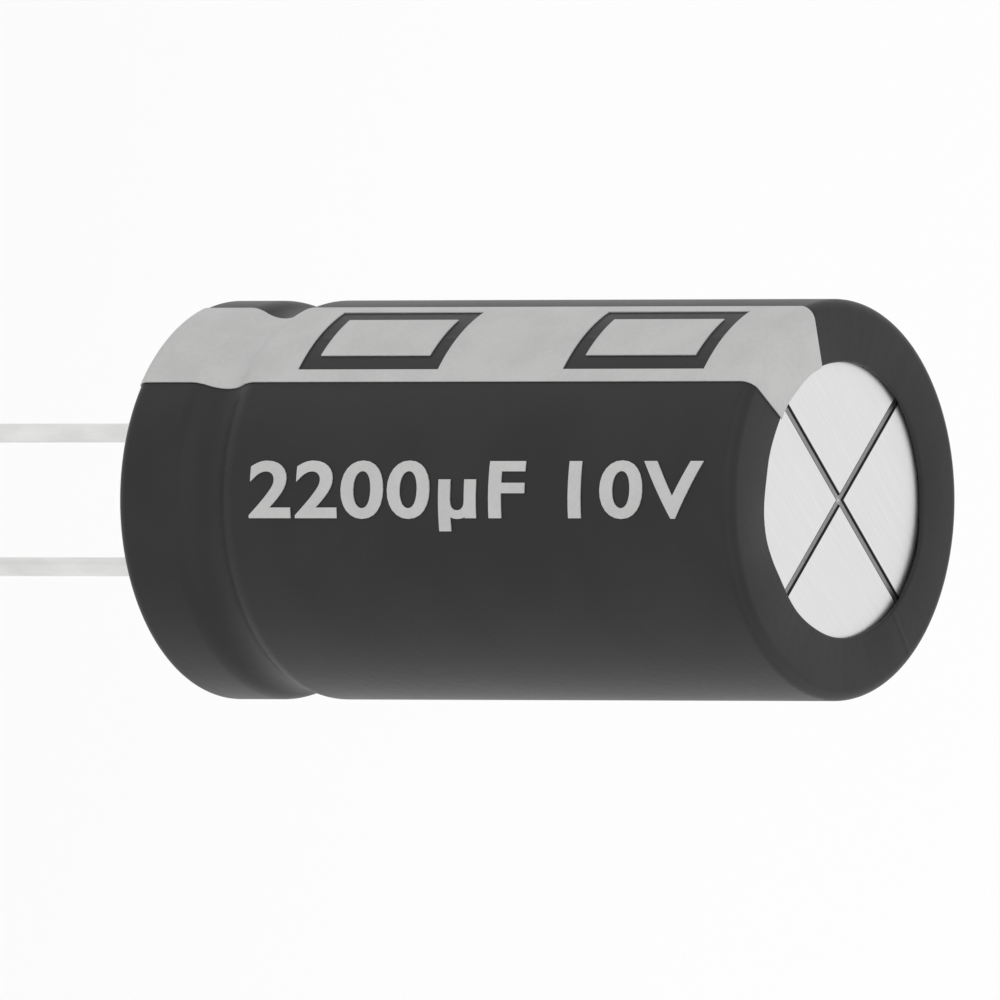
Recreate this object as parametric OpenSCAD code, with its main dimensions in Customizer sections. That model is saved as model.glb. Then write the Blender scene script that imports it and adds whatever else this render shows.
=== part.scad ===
// Radial aluminium electrolytic capacitor, standing upright on its seating plane.
// Z runs along the can, from the leads up to the vent. The origin is the middle of
// the seating plane. The positive lead is on +X and the negative lead on -X.

/* [Body] */
// Diameter over the sleeve
body_d = 10.5; // [9:0.1:14]
// Length from the seating plane to the top of the sleeve
body_l = 19.7; // [16:0.1:32]
// Outer radius of the sleeve where it turns over each end
edge_r = 0.33; // [0.24:0.01:0.5]

/* [Sleeve] */
// Thickness of the shrunk sleeve
sleeve_t = 0.15; // [0.08:0.01:0.2]
// Hole that the sleeve leaves over the vent
vent_open_d = 7.2; // [4:0.1:8]
// Width of the sleeve's lip under the foot of the can
foot_lip_w = 0.9; // [0.5:0.05:1.2]
// Height of the middle of the waist over the seating plane
waist_z = 2.78; // [2.4:0.02:3.4]
// Full height of the waist
waist_w = 2.1; // [1.9:0.05:2.4]
// Depth of the waist in the sleeve
waist_dip = 0.3; // [0.15:0.01:0.4]
// Radius at the bottom of the waist in the sleeve
waist_root_r = 1.1; // [0.6:0.05:1.2]

/* [Can] */
// Thickness of the can's side wall
can_t = 0.25; // [0.2:0.01:0.35]
// Thickness of the can's closed end
can_top_t = 0.4; // [0.3:0.05:0.8]
// Outer radius of the can's corners
can_edge_r = 0.4; // [0.38:0.01:0.45]
// Depth of the bead rolled into the can
bead_dip = 0.5; // [0.45:0.01:0.6]
// Radius at the bottom of the bead
bead_root_r = 0.7; // [0.5:0.05:0.8]
// Width of the curl from the can's side to its inner face
curl_w = 1; // [0.9:0.05:1.2]
// Height of the curl
curl_h = 0.8; // [0.6:0.05:1]

/* [Vent] */
// Width of the scored lines at the surface
score_w = 0.2; // [0.12:0.01:0.4]
// Width of the scored lines at their flat bottom
score_floor_w = 0.08; // [0.02:0.01:0.1]
// Depth of the scored lines
score_d = 0.14; // [0.08:0.01:0.22]
// Length of each scored line
score_l = 7.8; // [4:0.1:8.5]
// Turn of the scored cross about Z
vent_turn = 0; // [-45:1:45]

/* [Bung] */
// Height of the rubber bung
bung_h = 4.3; // [3.8:0.05:6]
// Depth of the bung's face above the seating plane
bung_recess = 0.3; // [0.2:0.02:0.5]
// Chamfer round the bung's edges
bung_bevel = 0.15; // [0.08:0.01:0.25]

/* [Leads] */
// Distance between the two leads
lead_pitch = 5; // [4.6:0.1:5.4]
// Diameter of the lead wire
wire_d = 0.5; // [0.4:0.05:0.8]
// Length of the positive lead below the seating plane
positive_l = 20; // [5:0.5:30]
// Length of the negative lead below the seating plane
negative_l = 15; // [5:0.5:30]
// Chamfer at the cut end of a lead
wire_bevel = 0.06; // [0.02:0.01:0.12]
// Height of the welded joint between wire and tab
weld_h = 0.6; // [0.3:0.05:0.9]
// How far the weld shows below the bung's face
weld_show = 0.05; // [0:0.01:0.15]

/* [Tabs] */
// Diameter of the round part of a tab
stud_d = 1.5; // [1.2:0.05:1.8]
// Width of the flat part of a tab
paddle_w = 1.6; // [1:0.1:2]
// Thickness of the flat part of a tab
paddle_t = 0.2; // [0.12:0.01:0.3]
// Height over which a tab turns from round to flat
flatten_h = 0.6; // [0.4:0.05:0.8]
// How far the round part of a tab stands out of the bung
stud_stand = 0.25; // [0.1:0.05:0.5]
// How far the flat part stops below the top of the foils
paddle_short = 1.5; // [0.5:0.1:4]
// Space left between the flat part and the foil or paper on each side of it
tab_fit = 0.04; // [0.03:0.01:0.08]

/* [Winding] */
// Thickness of the anode foil
anode_t = 0.1; // [0.06:0.01:0.14]
// Thickness of the cathode foil
cathode_t = 0.05; // [0.03:0.01:0.1]
// Thickness of each paper separator
paper_t = 0.05; // [0.04:0.01:0.1]
// Thickness of the closing tape
tape_t = 0.05; // [0.03:0.01:0.08]
// How far the papers stand past the foils at each end
paper_over = 0.5; // [0.2:0.05:1]
// Space between the winding and the can's closed end
head_gap = 0.3; // [0.2:0.05:1]
// Space between the ends of the tabs' round parts and the winding
foot_gap = 0.1; // [0.05:0.05:0.5]
// Least radius of the hole up the middle of the winding
least_core_r = 0.7; // [0.5:0.05:1]
// Least space between the winding and the can's side
winding_slack = 0.2; // [0.1:0.05:0.6]

/* [Print] */
// Width of the stripe, measured round the sleeve
stripe_w = 3.4; // [2:0.05:5]
// Direction of the middle of the stripe about Z
stripe_turn = 170.5; // [150:0.5:210]
// Length of each printed mark
mark_l = 4.5; // [3:0.05:5]
// Width of each printed mark, measured round the sleeve
mark_w = 2.6; // [1.5:0.05:3]
// Width of the line that outlines a mark
mark_line = 0.5; // [0.2:0.02:0.6]
// Space between the waist and the lower mark
mark_low_gap = 1.2; // [0.4:0.05:1.6]
// Space between the upper mark and the rounded rim
mark_high_gap = 1.35; // [0.4:0.05:1.6]
// Thickness of the printed ink
ink_t = 0.03; // [0.03:0.01:0.05]

/* [Hidden] */

// Running space between parts that touch, on each side
fit = 0.02;
// Steps in a quarter turn of a profile's arc
arc_steps = 8;
$fn = 96;

body_r = body_d / 2;
vent_open_r = vent_open_d / 2;
foot_open_r = body_r - foot_lip_w;

can_r = body_r - sleeve_t - fit;
can_z0 = sleeve_t + fit;
can_z1 = body_l - sleeve_t - fit;
can_in_r = can_r - can_t;
can_in_z1 = can_z1 - can_top_t;
curl_r = can_r - curl_w;

bung_r = can_in_r - fit;
bung_z0 = bung_recess;
bung_z1 = bung_z0 + bung_h;

wire_r = wire_d / 2;
stud_r = stud_d / 2;
lead_x = lead_pitch / 2;
// Space round the wire where it leaves the bung
wire_room = 0.08;
weld_z0 = bung_z0 - weld_show;
weld_z1 = weld_z0 + weld_h;

stud_z1 = bung_z1 + stud_stand;
flat_z1 = stud_z1 + flatten_h;
winding_z0 = flat_z1 + foot_gap;
winding_z1 = can_in_z1 - head_gap;
foil_z0 = winding_z0 + paper_over;
foil_z1 = winding_z1 - paper_over;

// Each turn of the winding holds paper, anode foil, paper and cathode foil in this order
inner_paper_at = 0;
anode_at = inner_paper_at + paper_t + fit;
outer_paper_at = anode_at + anode_t + fit;
cathode_at = outer_paper_at + paper_t + fit;
turn_t = cathode_at + cathode_t + fit;
// The anode foil meets the inner face of its tab on +X after a whole number of turns
positive_in_r = lead_x - paddle_t / 2;
anode_out = anode_at + anode_t + tab_fit;
turns_inside = floor((positive_in_r - anode_out - least_core_r) / turn_t);
core_r = positive_in_r - anode_out - turns_inside * turn_t;
tab_half = 2 * turns_inside;
// The cathode foil meets its own tab on -X half a turn before
negative_in_r = core_r + cathode_at + cathode_t + tab_fit + (tab_half - 1) * turn_t / 2;
// A tab pushes every later layer outwards
tab_bulge = paddle_t + 2 * tab_fit - fit;
winding_room = can_in_r - winding_slack - tape_t - tab_bulge - core_r - anode_at;
last_half = floor(winding_room / (turn_t / 2));

stripe_a = stripe_w / body_r * 180 / PI;
mark_a = mark_w / body_r * 180 / PI;
mark_line_a = mark_line / body_r * 180 / PI;
mark_low_z = waist_z + waist_w / 2 + mark_low_gap;
mark_high_z = body_l - edge_r - mark_high_gap - mark_l;
// The print stops this far round the foot's edge, so that it stays off the seating plane
print_foot_a = -60;
// Space under the ink, which keeps it and the sleeve separate solids
ink_lift = 0.01;
ink_out = ink_lift + ink_t;
// Depth of the blocks that cut the marks out of the ink, to each side of the sleeve's face
mark_reach = 0.2;

sleeve_grey = [0.23, 0.23, 0.23];
print_grey = [0.73, 0.73, 0.73];
aluminium = [0.88, 0.88, 0.88];
tin = [0.82, 0.82, 0.83];
rubber = [0.11, 0.11, 0.11];
paper = [0.87, 0.82, 0.7];
etched_foil = [0.6, 0.6, 0.62];
plain_foil = [0.78, 0.78, 0.8];
tape = [0.85, 0.8, 0.5];

// Points of an arc, of which the ends can be left out where a neighbour gives them
function arc(centre, r, from, to, open = false) =
    let (steps = max(2, ceil(abs(to - from) / 90 * arc_steps)))
    [for (i = [(open ? 1 : 0) : (open ? steps - 1 : steps)])
        let (a = from + (to - from) * i / steps)
        centre + r * [cos(a), sin(a)]];

function reversed(points) = [for (i = [len(points) - 1 : -1 : 0]) points[i]];

// Outline of a wall's waist from below to above: two shoulders tangent to the side
// and to the hollow between them, set in from the outer surface by inset
function waist(side_r, dip, root_r, inset = 0) =
    let (
        half = waist_w / 2,
        span = (half * half + dip * dip) / (2 * dip),
        lean = asin(half / span),
        shoulder_r = span - root_r
    )
    concat(
        arc([side_r - shoulder_r, waist_z - half], shoulder_r - inset, 0, lean),
        arc([side_r - dip + root_r, waist_z], root_r + inset, 180 + lean, 180 - lean, open = true),
        arc([side_r - shoulder_r, waist_z + half], shoulder_r - inset, -lean, 0)
    );

// The sleeve's outline from the edge of its foot to the edge of its vent opening
function sleeve_side(inset = 0, foot_a = -90) = concat(
    arc([body_r - edge_r, edge_r], edge_r - inset, foot_a, 0),
    waist(body_r, waist_dip, waist_root_r, inset),
    arc([body_r - edge_r, body_l - edge_r], edge_r - inset, 0, 90)
);

module sleeve() {
    color(sleeve_grey)
        rotate_extrude()
            polygon(concat(
                [[foot_open_r, 0]],
                sleeve_side(),
                [[vent_open_r, body_l], [vent_open_r, body_l - sleeve_t]],
                reversed(sleeve_side(sleeve_t)),
                [[foot_open_r, sleeve_t]]
            ));
}

// A block in cylinder form round the sleeve's surface, centred on the stripe
module stripe_block(angle, z0, z1) {
    rotate([0, 0, stripe_turn - angle / 2])
        rotate_extrude(angle = angle)
            translate([body_r - mark_reach, z0])
                square([2 * mark_reach, z1 - z0]);
}

// The outline of one mark, left out of the print so that the sleeve shows through
module mark(z0) {
    difference() {
        stripe_block(mark_a, z0, z0 + mark_l);
        stripe_block(mark_a - 2 * mark_line_a, z0 + mark_line, z0 + mark_l - mark_line);
    }
}

module stripe_print() {
    color(print_grey)
        difference() {
            rotate([0, 0, stripe_turn - stripe_a / 2])
                rotate_extrude(angle = stripe_a)
                    polygon(concat(
                        sleeve_side(-ink_out, print_foot_a),
                        [[vent_open_r, body_l + ink_out], [vent_open_r, body_l + ink_lift]],
                        reversed(sleeve_side(-ink_lift, print_foot_a))
                    ));
            for (z0 = [mark_low_z, mark_high_z])
                mark(z0);
        }
}

// One scored line, a groove along X whose sides slope to a flat bottom
module score() {
    half_top = score_w / 2;
    half_floor = score_floor_w / 2;
    half_over = 2 * half_top - half_floor;
    translate([-score_l / 2, 0, can_z1])
        rotate([90, 0, 90])
            linear_extrude(score_l)
                polygon([
                    [-half_floor, -score_d], [half_floor, -score_d],
                    [half_over, score_d], [-half_over, score_d]
                ]);
}

module can() {
    curl_top = can_z0 + curl_h;
    curl_arc = [curl_r + can_edge_r, can_z0 + can_edge_r];
    foot_arc = [can_r - can_edge_r, can_z0 + can_edge_r];
    in_edge_r = can_edge_r - can_t;
    color(aluminium)
        difference() {
            rotate_extrude()
                polygon(concat(
                    [[curl_r, curl_top]],
                    arc(curl_arc, can_edge_r, 180, 270),
                    arc(foot_arc, can_edge_r, 270, 360),
                    waist(can_r, bead_dip, bead_root_r),
                    arc([can_r - can_edge_r, can_z1 - can_edge_r], can_edge_r, 0, 90),
                    [[0, can_z1], [0, can_in_z1]],
                    arc([can_in_r - in_edge_r, can_in_z1 - in_edge_r], in_edge_r, 90, 0),
                    reversed(waist(can_r, bead_dip, bead_root_r, can_t)),
                    arc(foot_arc, in_edge_r, 360, 270),
                    arc(curl_arc, in_edge_r, 270, 180),
                    [[curl_r + can_t, curl_top]]
                ));
            for (turn = [0, 90])
                rotate([0, 0, vent_turn + turn])
                    score();
        }
}

// The stepped hole for one lead: tight round the weld, then round the tab's stud
module lead_hole() {
    translate([0, 0, weld_z0])
        cylinder(r1 = wire_r + wire_room, r2 = stud_r + fit, h = weld_h);
    translate([0, 0, weld_z1])
        cylinder(r = stud_r + fit, h = bung_h);
}

module bung() {
    slot_z = can_z0 + curl_h + fit;
    skirt_z = can_z0 + can_t + fit;
    skirt_r = curl_r + can_t + fit;
    color(rubber)
        difference() {
            rotate_extrude()
                polygon(concat(
                    [[0, bung_z0], [curl_r - fit - bung_bevel, bung_z0]],
                    [[curl_r - fit, bung_z0 + bung_bevel], [curl_r - fit, slot_z]],
                    [[skirt_r, slot_z], [skirt_r, skirt_z + bung_bevel]],
                    [[skirt_r + bung_bevel, skirt_z], [bung_r - bung_bevel, skirt_z]],
                    [[bung_r, skirt_z + bung_bevel]],
                    waist(can_r, bead_dip, bead_root_r, can_t + fit),
                    [[bung_r, bung_z1 - bung_bevel], [bung_r - bung_bevel, bung_z1]],
                    [[0, bung_z1]]
                ));
            for (side = [-1, 1])
                translate([side * lead_x, 0, 0])
                    lead_hole();
        }
}

// A lead wire with its weld to the tab at the top and a bevelled cut end below
module lead(side, length) {
    color(tin)
        translate([side * lead_x, 0, 0]) {
            translate([0, 0, -length])
                cylinder(r1 = wire_r - wire_bevel, r2 = wire_r, h = wire_bevel);
            translate([0, 0, wire_bevel - length])
                cylinder(r = wire_r, h = weld_z0 + length - wire_bevel);
            translate([0, 0, weld_z0])
                cylinder(r1 = wire_r, r2 = stud_r, h = weld_h);
        }
}

// A tab: a round stud through the bung, beaten flat where it lies between the turns
module tab(side) {
    in_r = side > 0 ? positive_in_r : negative_in_r;
    bend_a = paddle_w / in_r * 180 / PI;
    // The two ends of the flattened stretch, and how far the flat part reaches into it
    skin = 0.01;
    lap = 0.1;
    color(aluminium)
        rotate([0, 0, side > 0 ? 0 : 180]) {
            translate([lead_x, 0, weld_z1])
                cylinder(r = stud_r, h = stud_z1 - weld_z1);
            hull() {
                translate([lead_x, 0, stud_z1 - skin])
                    cylinder(r = stud_r - skin, h = skin, $fn = 32);
                translate([in_r, -paddle_w / 2, flat_z1 - skin])
                    cube([paddle_t, paddle_w, skin]);
            }
            rotate([0, 0, -bend_a / 2])
                rotate_extrude(angle = bend_a)
                    translate([in_r, flat_z1 - lap])
                        square([paddle_t, foil_z1 - paddle_short - flat_z1 + lap]);
        }
}

// Distance from the axis at which a layer crosses the X axis for the k-th time,
// on +X for an even k and on -X for an odd one
function crossing(k, layer_at) =
    let (pushed = k > tab_half || (k == tab_half && layer_at > anode_at))
    core_r + layer_at + k * turn_t / 2 + (pushed ? tab_bulge : 0);

// A strip wound from its first to its last crossing of the X axis, as half rings that
// join there. The papers start before the foils and end after them, and the tape makes
// one turn round the outside.
module wound_strip(layer_at, thickness, first, last, z0, z1) {
    for (k = [first : last - 1]) {
        near = crossing(k, layer_at);
        far = crossing(k + 1, layer_at);
        rotate([0, 0, k % 2 == 0 ? 0 : 180])
            translate([(near - far) / 2, 0, z0])
                rotate_extrude(angle = 180)
                    translate([(near + far) / 2, 0])
                        square([thickness, z1 - z0]);
    }
}

module inner_paper() {
    color(paper)
        wound_strip(inner_paper_at, paper_t, 0, last_half - 1, winding_z0, winding_z1);
}

module anode_foil() {
    color(etched_foil)
        wound_strip(anode_at, anode_t, 2, last_half - 4, foil_z0, foil_z1);
}

module outer_paper() {
    color(paper)
        wound_strip(outer_paper_at, paper_t, 1, last_half - 2, winding_z0, winding_z1);
}

module cathode_foil() {
    color(plain_foil)
        wound_strip(cathode_at, cathode_t, 1, last_half - 3, foil_z0, foil_z1);
}

module closing_tape() {
    color(tape)
        wound_strip(anode_at, tape_t, last_half - 2, last_half, winding_z0, winding_z1);
}

sleeve();
stripe_print();
can();
bung();
lead(1, positive_l);  // positive_lead
lead(-1, negative_l);  // negative_lead
tab(1);  // positive_tab
tab(-1);  // negative_tab
inner_paper();
anode_foil();
outer_paper();
cathode_foil();
closing_tape();
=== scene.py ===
# %% [markdown]
# # Dressing a radial electrolytic capacitor
# The real part is an aluminium can in a shrunk plastic sleeve, with two wire leads that
# leave it through a rubber bung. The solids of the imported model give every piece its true
# size and place. This lesson models the visible pieces again, with the small forms that
# light needs, such as the rounded edge of the film and the weld on a wire, and then
# gives each surface its finish. Lengths are thought of in millimetres, and the factor MM
# makes them the metres of the frame.

# %% Load the frame
import math

import bpy
from mathutils import Matrix, Vector


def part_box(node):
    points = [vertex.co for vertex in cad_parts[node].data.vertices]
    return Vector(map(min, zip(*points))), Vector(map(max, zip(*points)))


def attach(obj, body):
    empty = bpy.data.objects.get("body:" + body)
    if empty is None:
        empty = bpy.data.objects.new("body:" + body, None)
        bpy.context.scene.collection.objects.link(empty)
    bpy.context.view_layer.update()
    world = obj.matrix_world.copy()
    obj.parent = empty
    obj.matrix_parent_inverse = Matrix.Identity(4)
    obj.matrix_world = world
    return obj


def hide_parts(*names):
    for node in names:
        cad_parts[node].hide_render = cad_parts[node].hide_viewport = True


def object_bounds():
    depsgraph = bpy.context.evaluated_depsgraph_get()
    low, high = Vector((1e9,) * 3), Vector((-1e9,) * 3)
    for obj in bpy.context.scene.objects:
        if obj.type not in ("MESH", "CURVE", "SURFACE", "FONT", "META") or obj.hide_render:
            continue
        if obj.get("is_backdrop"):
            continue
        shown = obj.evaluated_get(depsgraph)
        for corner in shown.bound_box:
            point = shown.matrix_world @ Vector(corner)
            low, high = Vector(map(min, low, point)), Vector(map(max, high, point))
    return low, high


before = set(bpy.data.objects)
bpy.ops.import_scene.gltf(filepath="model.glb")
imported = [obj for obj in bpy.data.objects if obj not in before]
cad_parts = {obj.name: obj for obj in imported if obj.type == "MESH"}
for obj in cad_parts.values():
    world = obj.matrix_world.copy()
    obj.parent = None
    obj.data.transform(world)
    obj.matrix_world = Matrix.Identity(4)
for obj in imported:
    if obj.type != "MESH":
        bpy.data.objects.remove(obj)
cad_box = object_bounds()
MM = 0.001
print("nodes:", ", ".join(sorted(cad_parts)))

# %% [markdown]
# ## The camera
# The reference is a parallel isometric view: the camera looks along the diagonal of a
# cube, and the can's axis runs level across the picture. An orthographic camera would
# give that, but a very long lens gives the same picture to within a pixel. The camera is
# rolled so that the part's +Z points to the right.

# %% Place the camera
PIXELS = 1000
PIXELS_PER_MM = 38.1
SENSOR_MM = 36
LENS_MM = 1500
AIM_Z = 8.67

aim = Vector((0, 0, AIM_Z)) * MM
camera_distance = PIXELS / PIXELS_PER_MM * MM * LENS_MM / SENSOR_MM
towards_camera = Vector((-1, -1, 1)).normalized()
picture_up = Vector((-1, 1, 0)).normalized()
picture_right = picture_up.cross(towards_camera)
turn = Matrix((picture_right, picture_up, towards_camera)).transposed().to_4x4()

camera_data = bpy.data.cameras.new("long_lens")
camera_data.lens = LENS_MM
camera_data.sensor_width = SENSOR_MM
camera_data.clip_start = camera_distance / 2
camera_data.clip_end = camera_distance * 2
camera = bpy.data.objects.new("long_lens", camera_data)
bpy.context.scene.collection.objects.link(camera)
camera.matrix_world = Matrix.Translation(aim + towards_camera * camera_distance) @ turn
bpy.context.scene.camera = camera
bpy.context.scene.view_settings.view_transform = "Standard"
print(f"camera at {camera_distance:.3f} m, up {tuple(round(x, 3) for x in picture_up)}")

# %% [markdown]
# ## Sizes
# The rest are the real sizes of the film and of the waist that a roller presses into the
# can, the same ones that the solids were built with. The window is the film's round
# opening over the vent, and the foot ring is what the film covers under the can.

# %% Read the sizes
film_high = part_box("sleeve")[1]
can_low, can_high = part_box("can")
bung_low, bung_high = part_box("bung")
tab_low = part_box("positive_tab")[0]

body_r = film_high.x / MM
body_l = film_high.z / MM
can_r = can_high.x / MM
can_z0 = can_low.z / MM
can_z1 = can_high.z / MM
bung_r = bung_high.x / MM
bung_z0 = bung_low.z / MM
bung_z1 = bung_high.z / MM

FILM_T = 0.15
FILM_EDGE_R = 0.33
WINDOW_R = 3.6
FOOT_RING_W = 0.9
WAIST_Z = 2.78
WAIST_W = 2.1
foot_open_r = body_r - FOOT_RING_W
print(f"film {2 * body_r:.2f} by {body_l:.2f} mm, can {2 * can_r:.2f} by {can_z1 - can_z0:.2f} mm")

# %% [markdown]
# ## Tools for modelling
# A piece is modelled as by hand: something is added, opened in edit mode, shaped, and
# closed again. Everything is deselected first, because an operator acts on all that is
# selected. These small helpers keep the later cells short. Two points nearer than TOUCH
# are merged, and a point nearer than ON_PLANE to a cut lies on it, both in metres.

# %% Helpers for selecting and editing
TOUCH = 1e-6
ON_PLANE = 1e-8


def only(piece):
    """Leaves one object selected and active."""
    bpy.ops.object.select_all(action="DESELECT")
    piece.select_set(True)
    bpy.context.view_layer.objects.active = piece


def open_mesh(piece, kind="VERT"):
    """Opens a piece in edit mode with nothing selected."""
    only(piece)
    bpy.ops.object.mode_set(mode="EDIT")
    bpy.ops.mesh.select_mode(type=kind)
    bpy.ops.mesh.select_all(action="DESELECT")


def close_mesh():
    """Leaves edit mode."""
    bpy.ops.object.mode_set(mode="OBJECT")


def pick_faces(piece, test):
    """Opens a piece with those faces selected for which test(centre, normal) is true."""
    open_mesh(piece, "FACE")
    close_mesh()
    chosen = [test(face.center / MM, face.normal) for face in piece.data.polygons]
    piece.data.polygons.foreach_set("select", chosen)
    bpy.ops.object.mode_set(mode="EDIT")
    return sum(chosen)


def pick_points(piece, test):
    """Opens a piece with those vertices selected for which test(place) is true."""
    open_mesh(piece, "VERT")
    close_mesh()
    chosen = [test(point.co / MM) for point in piece.data.vertices]
    piece.data.vertices.foreach_set("select", chosen)
    bpy.ops.object.mode_set(mode="EDIT")
    return sum(chosen)


def apply_modifier(piece, kind, **settings):
    """Adds a modifier, sets it and applies it."""
    only(piece)
    modifier = piece.modifiers.new(kind.lower(), kind)
    for key, value in settings.items():
        setattr(modifier, key, value)
    bpy.ops.object.modifier_apply(modifier=modifier.name)


def smooth(piece, sharp=40):
    """Shades a piece smooth, but for edges that turn by more than sharp degrees."""
    only(piece)
    bpy.ops.object.shade_smooth_by_angle(angle=math.radians(sharp))


def direction(angle):
    """The level direction at an angle about Z in degrees."""
    turned = math.radians(angle)
    return Vector((math.cos(turned), math.sin(turned), 0))


# %% [markdown]
# ## Turned outlines
# The film, the can, the bung and the wires are all round, so each is an outline that is
# spun about the Z axis. An outline is a chain of (radius, height) points in millimetres.
# Its round stretches come from `arc`, and the waist that a roller presses into the can
# is two shoulders and a hollow, tangent to each other, as `waist_curve` works out.

# %% Helpers for outlines
ARC_STEP = 9.0
WAIST_STEP = 4.0


def arc(centre, radius, start, end, step=ARC_STEP):
    """Points on an arc from one angle to another, about one for each step, in degrees."""
    count = max(2, math.ceil(abs(end - start) / step))
    points = []
    for i in range(count + 1):
        angle = math.radians(start + (end - start) * i / count)
        points.append((centre[0] + radius * math.cos(angle), centre[1] + radius * math.sin(angle)))
    return points


def waist_curve(side_r, dip, root_r, inset=0.0):
    """The waist from below to above, set in from the outer surface by inset."""
    half = WAIST_W / 2
    span = (half * half + dip * dip) / (2 * dip)
    lean = math.degrees(math.asin(half / span))
    shoulder_r = span - root_r
    shoulder_x = side_r - shoulder_r
    root_at = (side_r - dip + root_r, WAIST_Z)
    low = arc((shoulder_x, WAIST_Z - half), shoulder_r - inset, 0, lean, WAIST_STEP)
    hollow = arc(root_at, root_r + inset, 180 + lean, 180 - lean, WAIST_STEP)
    high = arc((shoulder_x, WAIST_Z + half), shoulder_r - inset, -lean, 0, WAIST_STEP)
    return low + hollow[1:-1] + high


def spun(name, outline, steps, closed=True):
    """Draws an outline as a chain of edges and spins it about Z into a solid.

    A ring's outline is closed. That of a solid that reaches the axis starts and ends on it."""
    bpy.ops.object.select_all(action="DESELECT")
    bpy.ops.mesh.primitive_plane_add(size=MM)
    piece = bpy.context.object
    piece.name = name
    piece.data.name = name
    bpy.ops.object.mode_set(mode="EDIT")
    bpy.ops.mesh.select_mode(type="VERT")
    bpy.ops.mesh.select_all(action="SELECT")
    bpy.ops.mesh.merge(type="CENTER")
    chain = outline + outline[:1] if closed else outline
    places = [Vector((radius, 0, height)) * MM for radius, height in chain]
    bpy.ops.transform.translate(value=places[0])
    for here, there in zip(places, places[1:]):
        bpy.ops.mesh.extrude_vertices_move(TRANSFORM_OT_translate={"value": there - here})
    bpy.ops.mesh.select_all(action="SELECT")
    bpy.ops.mesh.remove_doubles(threshold=TOUCH)
    bpy.ops.mesh.spin(
        steps=steps, angle=2 * math.pi, center=(0, 0, 0), axis=(0, 0, 1), use_auto_merge=False
    )
    bpy.ops.mesh.select_all(action="SELECT")
    bpy.ops.mesh.remove_doubles(threshold=TOUCH)
    bpy.ops.mesh.normals_make_consistent(inside=False)
    close_mesh()
    print(f"{name}: {len(piece.data.polygons)} faces")
    return piece


# %% [markdown]
# ## The shrunk sleeve
# The sleeve starts as a length of flat tube, is slipped over the can and shrinks in hot
# air. It follows the bead softly, turns over both ends of the can and stops in a ring
# round the vent. It could be a bare surface with a Solidify modifier, but an outline with
# its own wall and rounded lips gives the film the thickness that shows at the window.

# %% Model the film
FILM_STEPS = 256
FILM_DIP = 0.3
FILM_ROOT_R = 1.1
LIP_STEP = 30
lip_r = FILM_T / 2


def film_side(inset):
    """The film from its foot to the top, at a depth below its outer face."""
    foot = arc((body_r - FILM_EDGE_R, FILM_EDGE_R), FILM_EDGE_R - inset, -90, 0)
    waist = waist_curve(body_r, FILM_DIP, FILM_ROOT_R, inset)
    rim = arc((body_r - FILM_EDGE_R, body_l - FILM_EDGE_R), FILM_EDGE_R - inset, 0, 90)
    return foot + waist + rim


top_lip = arc((WINDOW_R + lip_r, body_l - lip_r), lip_r, 90, 270, LIP_STEP)
foot_lip = arc((foot_open_r + lip_r, lip_r), lip_r, 90, 270, LIP_STEP)
film_outline = film_side(0) + top_lip + film_side(FILM_T)[::-1] + foot_lip
film = spun("sleeve_film", film_outline, FILM_STEPS)

# %% [markdown]
# ## The free lips
# Shrunk film never stops in a perfect circle: its two free lips wander by a few
# hundredths of a millimetre. The lips could be moved by hand, but a displacement by a
# cloud pattern wanders evenly all round. A vertex group says how far each point follows
# it: most at the edge, not at all further in, and less at the foot, which is held tighter.
# The straight side stays true, because the print lies on it.

# %% Let the free lips wander
LIP_FADE = 0.9
FOOT_SHARE = 0.4
WANDER_SIZE = 2.2
WANDER_SPAN = 0.09

lips = film.vertex_groups.new(name="lips")
loose = 0
for point in film.data.vertices:
    at_top = point.co.z / MM > body_l / 2
    inner_edge = WINDOW_R if at_top else foot_open_r
    share = 1.0 if at_top else FOOT_SHARE
    radius = math.hypot(point.co.x, point.co.y) / MM
    weight = max(0.0, 1 - (radius - inner_edge) / LIP_FADE)
    if weight > 0:
        lips.add([point.index], weight * weight * share, "REPLACE")
        loose += 1

wander = bpy.data.textures.new("wander", "CLOUDS")
wander.noise_scale = WANDER_SIZE * MM
wander.noise_depth = 1
apply_modifier(
    film, "DISPLACE", texture=wander, texture_coords="GLOBAL", vertex_group="lips",
    direction="RGB_TO_XYZ", strength=WANDER_SPAN * MM, mid_level=0.5,
)
smooth(film)
print(f"{loose} points of the film are free to wander")

# %% [markdown]
# ## Tools for cutting
# The stripe, its marks and the letters all get new edges along planes. A bisect cuts the
# faces of an open mesh in two wherever a plane meets them, and can drop all that lies on
# the plane's far side. Two planes through the can's axis bound a strip of the film.

# %% Helpers for cutting
def cut(plane_point, plane_normal, clear_outer=False):
    """Cuts all of the open mesh along a plane."""
    bpy.ops.mesh.select_all(action="SELECT")
    bpy.ops.mesh.bisect(
        plane_co=plane_point * MM, plane_no=plane_normal,
        clear_outer=clear_outer, threshold=ON_PLANE,
    )


def cut_wedge(turned, width, clear_outer=False):
    """Cuts the open mesh on both sides of a strip, as wide as that on the film."""
    half_angle = math.degrees(width / body_r) / 2
    for side in (-1, 1):
        cut(Vector((0, 0, 0)), direction(turned + side * (half_angle + 90)), clear_outer)


# %% [markdown]
# ## The stripe
# The negative side carries a light stripe of ink. It could be a colour in the film's own
# finish, but real ink is a thin coat that lies on the film wherever that goes. So the
# stripe is cut from a copy of the film, and only its outer faces are kept. That way it
# follows the waist, the rim and the wandering lip. Outer faces look outwards, or upwards
# from a little way down the rim's rounding.

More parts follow.
